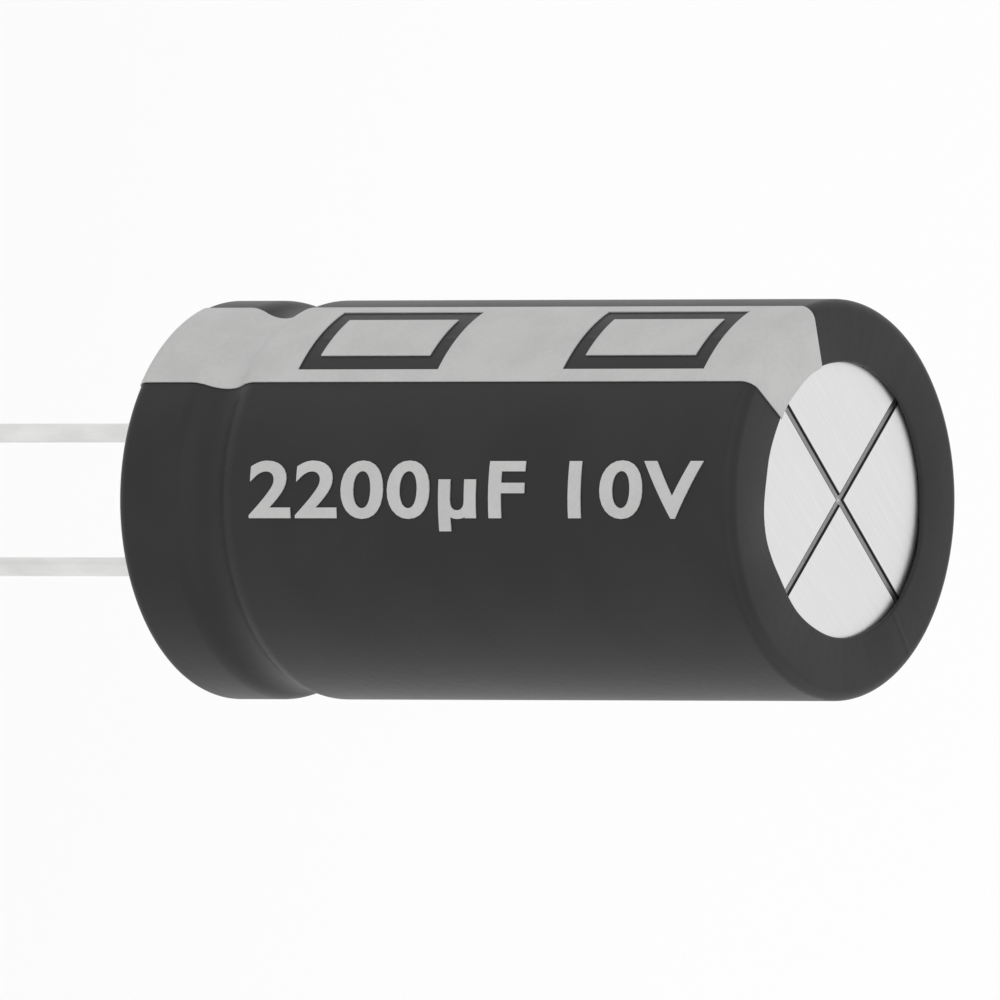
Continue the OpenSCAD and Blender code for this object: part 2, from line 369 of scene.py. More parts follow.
# %% Cut the stripe from a copy of the film
STRIPE_TURN = 170.5
STRIPE_W = 3.4
RIM_SHARE = 0.6
LOOKS_UP = 0.2
LOOKS_OUT = 0.45


def under_ink(centre, normal):
    """True for the film's outer faces, from the foot's edge to the window."""
    if centre.z > body_l - RIM_SHARE * FILM_EDGE_R:
        return normal.z > LOOKS_UP and centre.xy.length > WINDOW_R
    return normal.xy.dot(centre.xy) > LOOKS_OUT * centre.xy.length


only(film)
bpy.ops.object.duplicate()
stripe = bpy.context.object
stripe.name = "stripe_ink"
stripe.data.name = "stripe_ink"
stripe.vertex_groups.clear()
open_mesh(stripe)
cut_wedge(STRIPE_TURN, STRIPE_W, clear_outer=True)
close_mesh()
dropped = pick_faces(stripe, lambda centre, normal: not under_ink(centre, normal))
bpy.ops.mesh.delete(type="FACE")
close_mesh()
print(f"{stripe.name}: {len(stripe.data.polygons)} faces kept and {dropped} dropped")

# %% [markdown]
# ## The two marks
# The stripe shows two marks that say which lead is negative. Each is an outlined
# rectangle where no ink lies, so the film shows through. A dark piece could be laid on the
# stripe, but the real marks are gaps. The faces are cut along every edge of the outer and
# the inner rectangle, and those between the two are deleted. What is left is lifted off
# the film by a hair and given the ink's thickness.

# %% Leave the two marks out of the ink
MARK_W = 2.6
MARK_L = 4.5
MARK_LINE = 0.5
MARK_OVER_WAIST = 1.2
MARK_UNDER_RIM = 1.35
INK_T = 0.03
INK_LIFT = 0.01
mark_bases = (
    WAIST_Z + WAIST_W / 2 + MARK_OVER_WAIST,
    body_l - FILM_EDGE_R - MARK_UNDER_RIM - MARK_L,
)


def in_rectangle(centre, base, inset):
    """True inside a mark's outer rectangle, or inside one that is smaller by inset all round."""
    angle = math.degrees(math.atan2(centre.y, centre.x)) - STRIPE_TURN
    away = abs(math.radians((angle + 180) % 360 - 180)) * body_r
    return away < MARK_W / 2 - inset and base + inset < centre.z < base + MARK_L - inset


def in_outline(centre, normal):
    """True for the faces between the outer and the inner rectangle of a mark."""
    return any(
        in_rectangle(centre, base, 0) and not in_rectangle(centre, base, MARK_LINE)
        for base in mark_bases
    )


open_mesh(stripe)
for width in (MARK_W, MARK_W - 2 * MARK_LINE):
    cut_wedge(STRIPE_TURN, width)
for base in mark_bases:
    for height in (base, base + MARK_LINE, base + MARK_L - MARK_LINE, base + MARK_L):
        cut(Vector((0, 0, height)), Vector((0, 0, 1)))
close_mesh()
left_out = pick_faces(stripe, in_outline)
bpy.ops.mesh.delete(type="FACE")
close_mesh()
apply_modifier(stripe, "DISPLACE", strength=INK_LIFT * MM, mid_level=0)
apply_modifier(stripe, "SOLIDIFY", thickness=INK_T * MM, offset=1, use_even_offset=True)
smooth(stripe)
print(f"{left_out} faces left out for the marks")

# %% [markdown]
# ## The rating
# Beside the stripe the film carries the part's rating, its capacitance and its voltage.
# Any maker's part of this size could carry this one. The letters could be drawn point by
# point, but Blender's built-in face is plain enough, once it is made a little bolder and
# wider. A text object is set and then made a mesh.

# %% Print the rating
RATING = "2200µF 10V"
LETTER_WEIGHT = 0.022
LETTER_SPACING = 1.06
WORD_SPACING = 0.9
CURVE_STEPS = 6

bpy.ops.object.select_all(action="DESELECT")
bpy.ops.object.text_add()
rating = bpy.context.object
rating.data.body = RATING
rating.data.offset = LETTER_WEIGHT
rating.data.space_character = LETTER_SPACING
rating.data.space_word = WORD_SPACING
rating.data.resolution_u = CURVE_STEPS
bpy.ops.object.convert(target="MESH")
rating = bpy.context.object
rating.name = "rating_ink"
rating.data.name = "rating_ink"
print(f"{rating.name}: {len(rating.data.vertices)} points")

# %% [markdown]
# ## A mended letter
# Thickened letters can cross their own outline where two strokes meet at a sharp angle.
# Here only the µ does, at both ends of its bowl. So its faces are made one, and the
# crossed points at each joint are merged where the two strokes really meet. These places
# are in the font's own units, from the left edge of the µ, the one letter with a tail.

# %% Mend the joints of the µ
MU_JOINTS = ((0.133, -0.0070), (0.300, -0.0047))
MU_WIDTH = 0.43
MU_TAIL_Y = -0.1
JOINT_REACH = 0.037


def merge_near(piece, meeting):
    """Merges into one place the points just above it, as far as the joint reaches."""

    def is_near(place):
        away = place * MM - meeting
        return abs(away.x) < JOINT_REACH and 0 < away.y < JOINT_REACH

    count = pick_points(piece, is_near)
    bpy.context.scene.cursor.location = meeting
    bpy.ops.mesh.merge(type="CURSOR")
    bpy.context.scene.cursor.location = (0, 0, 0)
    close_mesh()
    print(f"{count} points merged at a joint")


mu_x = min(point.co.x for point in rating.data.vertices if point.co.y < MU_TAIL_Y)
pick_faces(rating, lambda centre, normal: 0 < centre.x * MM - mu_x < MU_WIDTH)
bpy.ops.mesh.dissolve_faces()
close_mesh()
for joint_x, joint_y in MU_JOINTS:
    merge_near(rating, Vector((mu_x + joint_x, joint_y, 0)))
open_mesh(rating, "FACE")
bpy.ops.mesh.select_all(action="SELECT")
bpy.ops.mesh.quads_convert_to_tris(ngon_method="BEAUTY")
close_mesh()

# %% [markdown]
# ## The rating's place
# A text lies flat and reads along X. On the film it reads along +Z, with its head towards
# the stripe. One matrix takes it there: it centres the letters, stretches them to their
# printed length and height, turns them to face outwards and sets them down just off the
# film. It is applied at once, because a finished piece has its place in its mesh.

# %% Place the rating beside the film
RATING_TURN = 221.7
RATING_Z0 = 4.33
RATING_Z1 = 18.82
CAP_H = 1.475

left = min(point.co.x for point in rating.data.vertices)
right = max(point.co.x for point in rating.data.vertices)
capital_top = max(point.co.y for point in rating.data.vertices)
stretch_x = (RATING_Z1 - RATING_Z0) * MM / (right - left)
stretch_y = CAP_H * MM / capital_top
out = direction(RATING_TURN)
reading = Vector((0, 0, 1))
letters_up = out.cross(reading)

centred = Matrix.Translation((-left, -capital_top / 2, 0))
stretched = Matrix.Diagonal((stretch_x, stretch_y, 1, 1))
facing = Matrix((reading, letters_up, out)).transposed().to_4x4()
spot = out * (body_r + INK_LIFT) * MM + Vector((0, 0, RATING_Z0 * MM))
rating.matrix_world = Matrix.Translation(spot) @ facing @ stretched @ centred
only(rating)
bpy.ops.object.transform_apply(location=True, rotation=True, scale=True)
print(f"letters {CAP_H} mm high, from {RATING_Z0} to {RATING_Z1} mm above the seat")

# %% [markdown]
# ## The rating on the curve
# A pad presses the ink onto the round film. A flat face can't bend, so the letters are
# first cut into narrow strips, over the height of a capital and the tail of the µ. A
# Shrinkwrap then takes every point to the nearest place on the film, which hardly
# stretches letters this low, and a Solidify gives the ink its thickness.

# %% Bend the rating onto the film
STRIP_H = 0.09
TAIL_ROOM = 1.5

strips = math.ceil(CAP_H * TAIL_ROOM / STRIP_H)
open_mesh(rating)
for i in range(-strips // 2, strips // 2 + 1):
    cut(letters_up * (i * STRIP_H), letters_up)
close_mesh()
apply_modifier(
    rating, "SHRINKWRAP", target=film, wrap_method="NEAREST_SURFACEPOINT",
    wrap_mode="ABOVE_SURFACE", offset=INK_LIFT * MM,
)
apply_modifier(rating, "SOLIDIFY", thickness=INK_T * MM, offset=1)
smooth(rating)
print(f"{rating.name}: {len(rating.data.polygons)} faces")

# %% [markdown]
# ## The can
# The can is one deep-drawn cup of aluminium with a thicker closed end. Its rim is curled
# in under the bung and turned up into the rubber. It could be a cylinder that is hollowed
# and bent, but a cup that is round all over is quickest spun from one outline, which
# runs from the axis down the inside, round the curl and up the outside. Two rings on the
# closed end are made ready for the scores, which are cut in the next step.

# %% Spin the cup
CAN_STEPS = 192
CAN_T = 0.25
CAN_TOP_T = 0.4
CAN_EDGE_R = 0.4
BEAD_DIP = 0.5
BEAD_ROOT_R = 0.7
CURL_W = 1.0
CURL_H = 0.8
INNER_STEP = 18
SCORE_REACH = 3.9
SCORE_END = 4.2

curl_r = can_r - CURL_W
curl_top = can_z0 + CURL_H
inner_edge_r = CAN_EDGE_R - CAN_T
curl_at = (curl_r + CAN_EDGE_R, can_z0 + CAN_EDGE_R)
foot_at = (can_r - CAN_EDGE_R, can_z0 + CAN_EDGE_R)
corner_at = (can_r - CAN_EDGE_R, can_z1 - CAN_EDGE_R)
inner_corner_at = (can_r - CAN_T - inner_edge_r, can_z1 - CAN_TOP_T - inner_edge_r)
curl_end = arc((curl_r + CAN_T / 2, curl_top - CAN_T / 2), CAN_T / 2, 0, 180, LIP_STEP)
cup_inside = (
    [(0, can_z1 - CAN_TOP_T)]
    + arc(inner_corner_at, inner_edge_r, 90, 0)
    + waist_curve(can_r, BEAD_DIP, BEAD_ROOT_R, CAN_T)[::-1]
    + arc(foot_at, inner_edge_r, 360, 270, INNER_STEP)
    + arc(curl_at, inner_edge_r, 270, 180, INNER_STEP)
)
cup_outside = (
    arc(curl_at, CAN_EDGE_R, 180, 270)
    + arc(foot_at, CAN_EDGE_R, 270, 360)
    + waist_curve(can_r, BEAD_DIP, BEAD_ROOT_R)
    + arc(corner_at, CAN_EDGE_R, 0, 90)
    + [(SCORE_END, can_z1), (SCORE_REACH, can_z1), (0, can_z1)]
)
can = spun("can_shell", cup_inside + curl_end + cup_outside, CAN_STEPS, closed=False)

# %% [markdown]
# ## The vent
# A press scores a cross into the closed end, so that the metal tears there and lets the
# pressure out. A Boolean could cut the grooves, but cuts by hand leave cleaner faces: the
# closed end becomes one flat face, four cuts each way mark the edges and the floor of
# each groove, and the floors are pushed in. Past SCORE_REACH they rise again, and reach
# the surface at SCORE_END.

# %% Score the vent
SCORE_W = 0.2
SCORE_FLOOR_W = 0.08
SCORE_D = 0.14
LEVEL = 0.9
NEAR = 0.01


def on_vent(centre, normal):
    """True for the level faces of the closed end, as far out as the scores reach."""
    on_top = normal.z > LEVEL and centre.z > can_z1 - NEAR
    return on_top and centre.xy.length < SCORE_REACH


def on_score_floor(place):
    """True for the points of the closed end that bound the floor of a groove."""
    by_axis = min(abs(place.x), abs(place.y)) < SCORE_FLOOR_W / 2 + NEAR
    return by_axis and place.z > can_z1 - NEAR and place.xy.length < SCORE_REACH + NEAR


pick_faces(can, on_vent)
bpy.ops.mesh.dissolve_faces()
close_mesh()
for across in (Vector((1, 0, 0)), Vector((0, 1, 0))):
    for offset in (-SCORE_W / 2, -SCORE_FLOOR_W / 2, SCORE_FLOOR_W / 2, SCORE_W / 2):
        pick_faces(can, on_vent)
        bpy.ops.mesh.bisect(plane_co=across * offset * MM, plane_no=across, threshold=ON_PLANE)
        close_mesh()
pushed = pick_points(can, on_score_floor)
bpy.ops.transform.translate(value=(0, 0, -SCORE_D * MM))
close_mesh()
smooth(can, sharp=30)
print(f"{pushed} points pushed in, {len(can.data.polygons)} faces")

# %% [markdown]
# ## The bung
# A moulded plug of rubber closes the can. The bead grips it round its waist and the curl
# bites into its face. Each tab's round stud fills a stepped hole, whose mouth is moulded
# a little wider than the wire. The plug is spun, two spun cutters take the holes out of
# it, since holes off the axis can't be in its outline, and a bevel rounds all the edges.
# FIT is the space that is left between pieces that touch.

# %% Mould the bung
BUNG_STEPS = 96
HOLE_STEPS = 48
FIT = 0.02
BUNG_BEVEL = 0.15
BUNG_ROUNDING = 0.03
BUNG_SHARP = 35
LEAD_X = 2.5
WIRE_R = 0.25
WIRE_ROOM = 0.08
STUD_R = 0.75
MOUTH_W = 0.1
MOUTH_START = 0.01
CUT_PAST = 0.2

weld_z1 = tab_low.z / MM
throat_r = WIRE_R + WIRE_ROOM
plug_r = curl_r - FIT
slot_z = curl_top + FIT
skirt_z = can_z0 + CAN_T + FIT
skirt_r = curl_r + CAN_T + FIT
plug = (
    [(0, bung_z0), (plug_r / 2, bung_z0), (plug_r - BUNG_BEVEL, bung_z0)]
    + [(plug_r, bung_z0 + BUNG_BEVEL), (plug_r, slot_z), (skirt_r, slot_z)]
    + [(skirt_r, skirt_z + BUNG_BEVEL), (skirt_r + BUNG_BEVEL, skirt_z)]
    + [(bung_r - BUNG_BEVEL, skirt_z), (bung_r, skirt_z + BUNG_BEVEL)]
    + waist_curve(can_r, BEAD_DIP, BEAD_ROOT_R, CAN_T + FIT)
    + [(bung_r, bung_z1 - BUNG_BEVEL), (bung_r - BUNG_BEVEL, bung_z1), (0, bung_z1)]
)
hole = [
    (0, bung_z0 - CUT_PAST),
    (throat_r + MOUTH_W, bung_z0 - CUT_PAST),
    (throat_r + MOUTH_W, bung_z0 - MOUTH_START),
    (throat_r, bung_z0 + MOUTH_W),
    (STUD_R + FIT, weld_z1),
    (STUD_R + FIT, bung_z1 + CUT_PAST),
    (0, bung_z1 + CUT_PAST),
]
bung = spun("rubber_bung", plug, BUNG_STEPS, closed=False)
for side in (-1, 1):
    cutter = spun("hole_cutter", hole, HOLE_STEPS, closed=False)
    cutter.location.x = side * LEAD_X * MM
    bpy.ops.object.transform_apply(location=True)
    apply_modifier(bung, "BOOLEAN", object=cutter, operation="DIFFERENCE", solver="EXACT")
    bpy.data.objects.remove(cutter)
apply_modifier(
    bung, "BEVEL", width=BUNG_ROUNDING * MM, segments=2,
    limit_method="ANGLE", angle_limit=math.radians(BUNG_SHARP),
)
smooth(bung, sharp=BUNG_SHARP)
print(f"{bung.name}: {len(bung.data.polygons)} faces")

# %% [markdown]
# ## The leads
# Each lead is a tinned wire. Its upper end was melted into the foot of the aluminium tab,
# which leaves a small bead with a hollow flank, and its lower end was cut off by a blade
# that rounds one edge and leaves the other sharp. It could be a curve with a round bevel,
# but a spun outline makes the weld as well. The end is rounded all the way, and a
# slanting cut then takes the rounding off one side.

# %% Draw the two wires
WIRE_STEPS = 40
WIRE_SHARP = 35
WELD_PROUD = 0.05
WELD_HOLLOW_R = 0.3
END_FLAT = 0.07
END_R = 0.05
CUT_RISE = 0.045
CUT_LEAN_X = 0.16
CUT_LEAN_Y = 0.1
WELD_INSET = 0.01
WELD_SIDE = 0.02
WELD_EDGE = 0.04

weld_r = STUD_R - WELD_INSET
side_z = weld_z1 - WELD_SIDE
weld_at = (WIRE_R + WELD_HOLLOW_R, bung_z0 - WELD_PROUD)
weld_flank = arc(weld_at, WELD_HOLLOW_R, 180, 120, step=10)
weld_rim = [(weld_r - WELD_EDGE, side_z - WELD_EDGE), (weld_r, side_z), (weld_r, weld_z1)]


def wire(name, node, side):
    """A lead at x = side * LEAD_X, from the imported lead's lowest point up to its weld."""
    length = -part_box(node)[0].z / MM
    end = [(0, -length), (WIRE_R - END_FLAT, -length)]
    end += arc((WIRE_R - END_R, END_R - length), END_R, -60, 0, step=20)
    outline = end + weld_flank + weld_rim + [(0, weld_z1)]
    piece = spun(name, outline, WIRE_STEPS, closed=False)
    open_mesh(piece)
    bpy.ops.mesh.select_all(action="SELECT")
    bpy.ops.mesh.bisect(
        plane_co=Vector((0, 0, CUT_RISE - length)) * MM,
        plane_no=Vector((CUT_LEAN_X * side, CUT_LEAN_Y, -1)).normalized(),
        use_fill=True, clear_outer=True, threshold=ON_PLANE,
    )
    close_mesh()
    piece.location.x = side * LEAD_X * MM
    only(piece)
    bpy.ops.object.transform_apply(location=True)
    smooth(piece, sharp=WIRE_SHARP)
    print(f"{name} reaches {length:.1f} mm below the seat")
    return piece


positive_wire = wire("positive_wire", "positive_lead", 1)
negative_wire = wire("negative_wire", "negative_lead", -1)

# %% [markdown]
# ## Tools for finishes
# A finish is a material whose numbers change a little over the surface, as real ones do.
# Shader maths reads best as plain sums, so `Flow` wraps a node's output and lets it be
# added and multiplied, and `Finish` has the one method that makes every node. All
# patterns are placed by object coordinates in millimetres, so they stay with the piece
# from any side. A noise seldom leaves NOISE_RANGE, so a rise over that range makes full
# use of it. A Mix node keeps its two colours at sockets 6 and 7 and its result at 2.

# %% Flow and Finish
NOISE_RANGE = (0.3, 0.7)
MIX_FIRST = 6
MIX_SECOND = 7
MIX_RESULT = 2


class Flow:
    """A node's output that can be used in sums."""

    def __init__(self, finish, socket):
        self.finish = finish
        self.socket = socket

    def __add__(self, other):
        return self.finish.maths("ADD", self, other)

    def __radd__(self, other):
        return self.finish.maths("ADD", other, self)

    def __sub__(self, other):
        return self.finish.maths("SUBTRACT", self, other)

    def __rsub__(self, other):
        return self.finish.maths("SUBTRACT", other, self)

    def __mul__(self, other):
        return self.finish.maths("MULTIPLY", self, other)

    def __rmul__(self, other):
        return self.finish.maths("MULTIPLY", other, self)

    def sized(self):
        """The same without its sign."""
        return self.finish.maths("ABSOLUTE", self)

    def rise(self, low, high):
        """0 at low and 1 at high, with a soft start and end. High may be the smaller one."""
        kind = {"interpolation_type": "SMOOTHSTEP"}
        return self.finish.node(
            "ShaderNodeMapRange", kind, {0: self, 1: low, 2: high, 3: 0.0, 4: 1.0}
        )


class Finish:
    """A material, and the ways in which nodes are added to it."""

    def __init__(self, name, settings):
        self.material = bpy.data.materials.new(name)
        self.material.use_nodes = True
        self.tree = self.material.node_tree
        self.shader = self.tree.nodes["Principled BSDF"]
        for key, value in settings.items():
            self.shader.inputs[key].default_value = value
        seen = self.node("ShaderNodeTexCoord", {}, {}, "Object")
        self.place = self.node("ShaderNodeMapping", {}, {"Vector": seen, "Scale": (1 / MM,) * 3})
        split = self.node("ShaderNodeSeparateXYZ", {}, {0: self.place}).socket.node
        self.x, self.y, self.z = (Flow(self, split.outputs[i]) for i in range(3))

    def node(self, kind, settings, sockets, output=0):
        """Makes a node, sets it, gives its sockets values or links, and returns an output."""
        made = self.tree.nodes.new(kind)
        for key, value in settings.items():
            setattr(made, key, value)
        for key, value in sockets.items():
            if isinstance(value, Flow):
                self.tree.links.new(value.socket, made.inputs[key])
            else:
                made.inputs[key].default_value = value
        return Flow(self, made.outputs[output])

    def maths(self, operation, first, second=0.0):
        """One Math node on two numbers. Some operations use only the first."""
        return self.node("ShaderNodeMath", {"operation": operation}, {0: first, 1: second})

    def noise(self, per_mm, detail=2.0, squeeze=(1, 1, 1), at=None):
        """Cloudy noise around 0.5. A squeeze above 1 packs it more tightly along that axis."""
        place = self.node("ShaderNodeMapping", {}, {"Vector": at or self.place, "Scale": squeeze})
        sockets = {"Vector": place, "Scale": per_mm, "Detail": detail}
        return self.node("ShaderNodeTexNoise", {}, sockets)

    def blend(self, factor, first, second):
        """Mixes two colours, each either three numbers or a flow."""
        sockets = {0: factor}
        for key, colour in ((MIX_FIRST, first), (MIX_SECOND, second)):
            sockets[key] = colour if isinstance(colour, Flow) else (*colour, 1)
        return self.node("ShaderNodeMix", {"data_type": "RGBA"}, sockets, MIX_RESULT)

    def turn(self):
        """The direction about Z, in radians."""
        return self.maths("ARCTAN2", self.y, self.x)

    def outward(self):
        """The direction out from Z, as a vector of length 1, the same all along a radius."""
        flat = self.node("ShaderNodeCombineXYZ", {}, {0: self.x, 1: self.y, 2: 0.0})
        return self.node("ShaderNodeVectorMath", {"operation": "NORMALIZE"}, {0: flat})

    def feed(self, **flows):
        """Links flows to the shader's sockets: base_color goes to Base Color."""
        for key, flow in flows.items():
            name = key.replace("_", " ").title()
            self.tree.links.new(flow.socket, self.shader.inputs[name])

    def relief(self, height, depth_mm):
        """Gives the surface a relief, from a height of 0 to 1 and a depth in millimetres."""
        sockets = {"Strength": 1.0, "Distance": depth_mm * MM, "Height": height}
        self.feed(normal=self.node("ShaderNodeBump", {}, sockets))


def wear(piece, finish):
    """Puts a finish on all of a piece."""
    if piece.material_slots:
        for place in piece.material_slots:
            place.material = finish.material
    else:
        piece.data.materials.append(finish.material)
    print(f"{piece.name} wears {finish.material.name}")


# %% [markdown]
# ## Film
# The sleeve is dark grey film with a satin face. Up close it has a fine orange peel, some
# cloudiness where the hot air was uneven, faint pleats where it is gathered over the two
# rims, and two lines along its length, where the tube was folded flat on its reel. All of
# that is far finer than the mesh, so it is relief and roughness and not shape. The pleats
# are noise that is read by direction alone, so that each runs straight along a radius.

# %% Finish the film
FILM_DARK = (0.015, 0.015, 0.0153)
FILM_PALE = (0.019, 0.019, 0.0193)
PEEL_PER_MM = 5.0
PLEAT_START = 0.9
PLEAT_FULL = 0.3
FOLD_TURN = -0.15
FOLD_W = 0.16

film_finish = Finish("film", {"IOR": 1.5, "Specular IOR Level": 0.24})
peel = film_finish.noise(PEEL_PER_MM, detail=3.0)
cloud = film_finish.noise(per_mm=0.35)
at_foot = film_finish.z.rise(PLEAT_START, PLEAT_FULL)
at_rim = film_finish.z.rise(body_l - PLEAT_START, body_l - PLEAT_FULL)
gathers = film_finish.noise(per_mm=7.0, detail=1.0, at=film_finish.outward())
pleats = gathers * (at_rim + at_foot)


def fold_line(turned):
    """1 along one fold of the tube and 0 beside it."""
    across = (film_finish.turn() - turned).sized() * body_r
    return across.rise(FOLD_W, 0.0)


folds = fold_line(FOLD_TURN) + fold_line(FOLD_TURN + math.pi)
film_finish.relief(peel * 0.3 + pleats * 0.8 + folds * 0.35, depth_mm=0.02)
film_finish.feed(
    base_color=film_finish.blend(cloud.rise(*NOISE_RANGE), FILM_DARK, FILM_PALE),
    roughness=0.37 + cloud * 0.08 + peel * 0.06,
)
wear(film, film_finish)

# %% [markdown]
# ## Ink
# A pad lays the ink on thinly, so it takes the orange peel of the film below it. It dries
# rougher than the film and varies a little in depth, where the pad pressed more or less.
# The stripe and the rating are two passes of the press, so each has a finish of its own,
# but one recipe makes both.

# %% Finish the ink
STRIPE_THIN = (0.425, 0.425, 0.422)
STRIPE_FULL = (0.465, 0.465, 0.462)
RATING_THIN = (0.435, 0.435, 0.432)
RATING_FULL = (0.475, 0.475, 0.472)


def ink(name, thin, full):
    """A print of ink, between its thinnest and its fullest colour."""
    finish = Finish(name, {"IOR": 1.45})
    grain = finish.noise(per_mm=9.0, detail=3.0)
    depth = finish.noise(per_mm=0.8) * 0.6 + grain * 0.4
    peel = finish.noise(PEEL_PER_MM, detail=3.0)
    finish.relief(peel * 0.5 + grain * 0.3, depth_mm=0.012)
    finish.feed(
        base_color=finish.blend(depth.rise(0.35, 0.65), thin, full),
        roughness=0.5 + grain * 0.15,
    )
    return finish


wear(stripe, ink("stripe_print", STRIPE_THIN, STRIPE_FULL))
wear(rating, ink("rating_print", RATING_THIN, RATING_FULL))

# %% [markdown]
# ## Metal of the can
# The can is drawn from rolled sheet, so its closed end still shows the fine straight lines
# of the rolls, while its side is streaked along the draw. The grooves are painted darker,
# partly because the press leaves them duller and partly as painted shade in the recess.
# Dark lines along their edges are painted shade, with a little dirt where the metal is
# torn. The lines are in the colour, because they are finer than a groove's own faces.

# %% Finish the can
SHEET_DARK = (0.72, 0.72, 0.725)
SHEET_PALE = (0.765, 0.765, 0.77)
# The groove colour is partly duller metal and partly painted shade; the edge colour is painted
# shade with a little dirt.
GROOVE_DULL_AND_SHADE = (0.6, 0.6, 0.605)
EDGE_DIRT_AND_SHADE = (0.04, 0.04, 0.04)
EDGE_IN = 0.02
EDGE_OUT = 0.015
EDGE_BLUR = 0.01

can_finish = Finish("drawn_aluminium", {"Metallic": 1.0})


def from_top(start, full):
    """Rises from 0 to 1 between two depths below the closed end."""
    return can_finish.z.rise(can_z1 - start, can_z1 - full)


rolled = can_finish.noise(per_mm=1.0, detail=4.0, squeeze=(0.6, 34, 1))
drawn = can_finish.noise(per_mm=14.0, squeeze=(1, 1, 0.04))
on_end = from_top(start=0.3, full=0.1)
streaks = rolled * on_end + drawn * (1 - on_end)
blotch = can_finish.noise(per_mm=0.7)
from_arm = can_finish.maths("MINIMUM", can_finish.x.sized(), can_finish.y.sized())
half_score = SCORE_W / 2
in_face = from_top(start=0.2, full=0.16)
# Painted shade: the groove is painted darker, partly duller metal and partly the shade in the
# recess.
groove = in_face * from_arm.rise(half_score + EDGE_BLUR / 2, half_score - EDGE_BLUR / 2)
edge_in = from_arm.rise(half_score - EDGE_IN - EDGE_BLUR, half_score - EDGE_IN)
edge_out = from_arm.rise(half_score + EDGE_OUT + EDGE_BLUR, half_score + EDGE_OUT)
# Painted shade: thin dark lines along the groove's edges, with a little dirt, and rougher there.
edge = in_face * edge_in * edge_out
sheet = can_finish.blend(streaks.rise(*NOISE_RANGE), SHEET_DARK, SHEET_PALE)
stamped = can_finish.blend(groove, sheet, GROOVE_DULL_AND_SHADE)
can_finish.relief(streaks, depth_mm=0.002)
can_finish.feed(
    base_color=can_finish.blend(edge, stamped, EDGE_DIRT_AND_SHADE),
    roughness=0.32 + streaks * 0.06 + blotch * 0.08 + edge * 0.2,
)
wear(can, can_finish)

# %% [markdown]
# ## Metal of the wires
# The wires were drawn through a die and dipped in tin: bright, faintly streaked along
# their length and a little duller where the tin ran. The cut end shows the steel core in
# its thin coat of copper. Both rings are coloured by how far a point is from the wire's
# own axis, so the end needs no faces of its own for them.

# %% Finish the wires
TIN_DARK = (0.69, 0.687, 0.68)
TIN_PALE = (0.785, 0.781, 0.773)
COPPER = (0.72, 0.38, 0.24)
STEEL = (0.5, 0.5, 0.5)
CUT_H = 0.12
TIN_T = 0.012
TIN_BLUR = 0.008
COPPER_IN = 0.035
CUT_BLUR = 0.01


def tinned(name, node, side):
    """Tin on the wire at x = side * LEAD_X, with the core bare at its lowest point."""
    finish = Finish(name, {"Metallic": 1.0})
    streak = finish.noise(per_mm=16.0, squeeze=(1, 1, 0.05))
    run = finish.noise(per_mm=1.1, detail=3.0, squeeze=(1, 1, 0.5))
    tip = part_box(node)[0].z / MM
    at_cut = finish.z.rise(tip + CUT_H + CUT_BLUR, tip + CUT_H)
    away_x = finish.x - side * LEAD_X
    away = finish.maths("SQRT", away_x * away_x + finish.y * finish.y)
    coat = away.rise(WIRE_R - TIN_T, WIRE_R - TIN_T - TIN_BLUR)
    core = away.rise(WIRE_R - COPPER_IN, WIRE_R - COPPER_IN - CUT_BLUR)
    tin = finish.blend(run.rise(*NOISE_RANGE), TIN_DARK, TIN_PALE)
    coated = finish.blend(at_cut * coat, tin, COPPER)
    finish.relief(streak * 0.5 + run * 0.5, depth_mm=0.003)
    finish.feed(
        base_color=finish.blend(at_cut * core, coated, STEEL),
        roughness=0.27 + run * 0.14 + streak * 0.06,
    )
    return finish


wear(positive_wire, tinned("positive_tin", "positive_lead", 1))
wear(negative_wire, tinned("negative_tin", "negative_lead", -1))

# %% [markdown]
# ## Rubber
# The bung is black rubber with a little carbon bloom: nearly matt, with the fine grain of
# a blasted mould and lighter dust in broad patches. Two noises are enough, a fine one for
# the grain and a broad one for the bloom.

# %% Finish the rubber
RUBBER_BLACK = (0.014, 0.014, 0.014)
RUBBER_BLOOM = (0.026, 0.0255, 0.025)

rubber = Finish("moulded_rubber", {"Specular IOR Level": 0.35})
grain = rubber.noise(per_mm=12.0, detail=3.0)
bloom = rubber.noise(per_mm=0.9, detail=3.0)
rubber.relief(grain, depth_mm=0.02)
rubber.feed(
    base_color=rubber.blend(bloom.rise(0.4, 0.75), RUBBER_BLACK, RUBBER_BLOOM),
    roughness=0.62 + grain * 0.2,
)
wear(bung, rubber)

# %% [markdown]
# ## Inside the can
# The tabs and the wound element can't be seen, but the model can be opened. Their solids
# have the right shape, so they stay and only get their finishes: etched foil is a dull
# velvet grey, the cathode a shade brighter, the papers are fibrous and soaked, and the
# closing tape is amber. One recipe serves them all. A noise that is squeezed less along Z
# is drawn out that way, as the fibres of paper and the lines of rolled foil are.

# %% Finish the wound element
def sheet_finish(name, settings, dark, light, squeeze, rough):
    """A thin sheet with fibres or rolling lines, between a dark and a light colour."""
    finish = Finish(name, settings)
    fibres = finish.noise(per_mm=3.0, detail=4.0, squeeze=squeeze)
    finish.relief(fibres, depth_mm=0.006)
    finish.feed(
        base_color=finish.blend(fibres.rise(*NOISE_RANGE), dark, light),
        roughness=rough + fibres * 0.15,
    )
    return finish


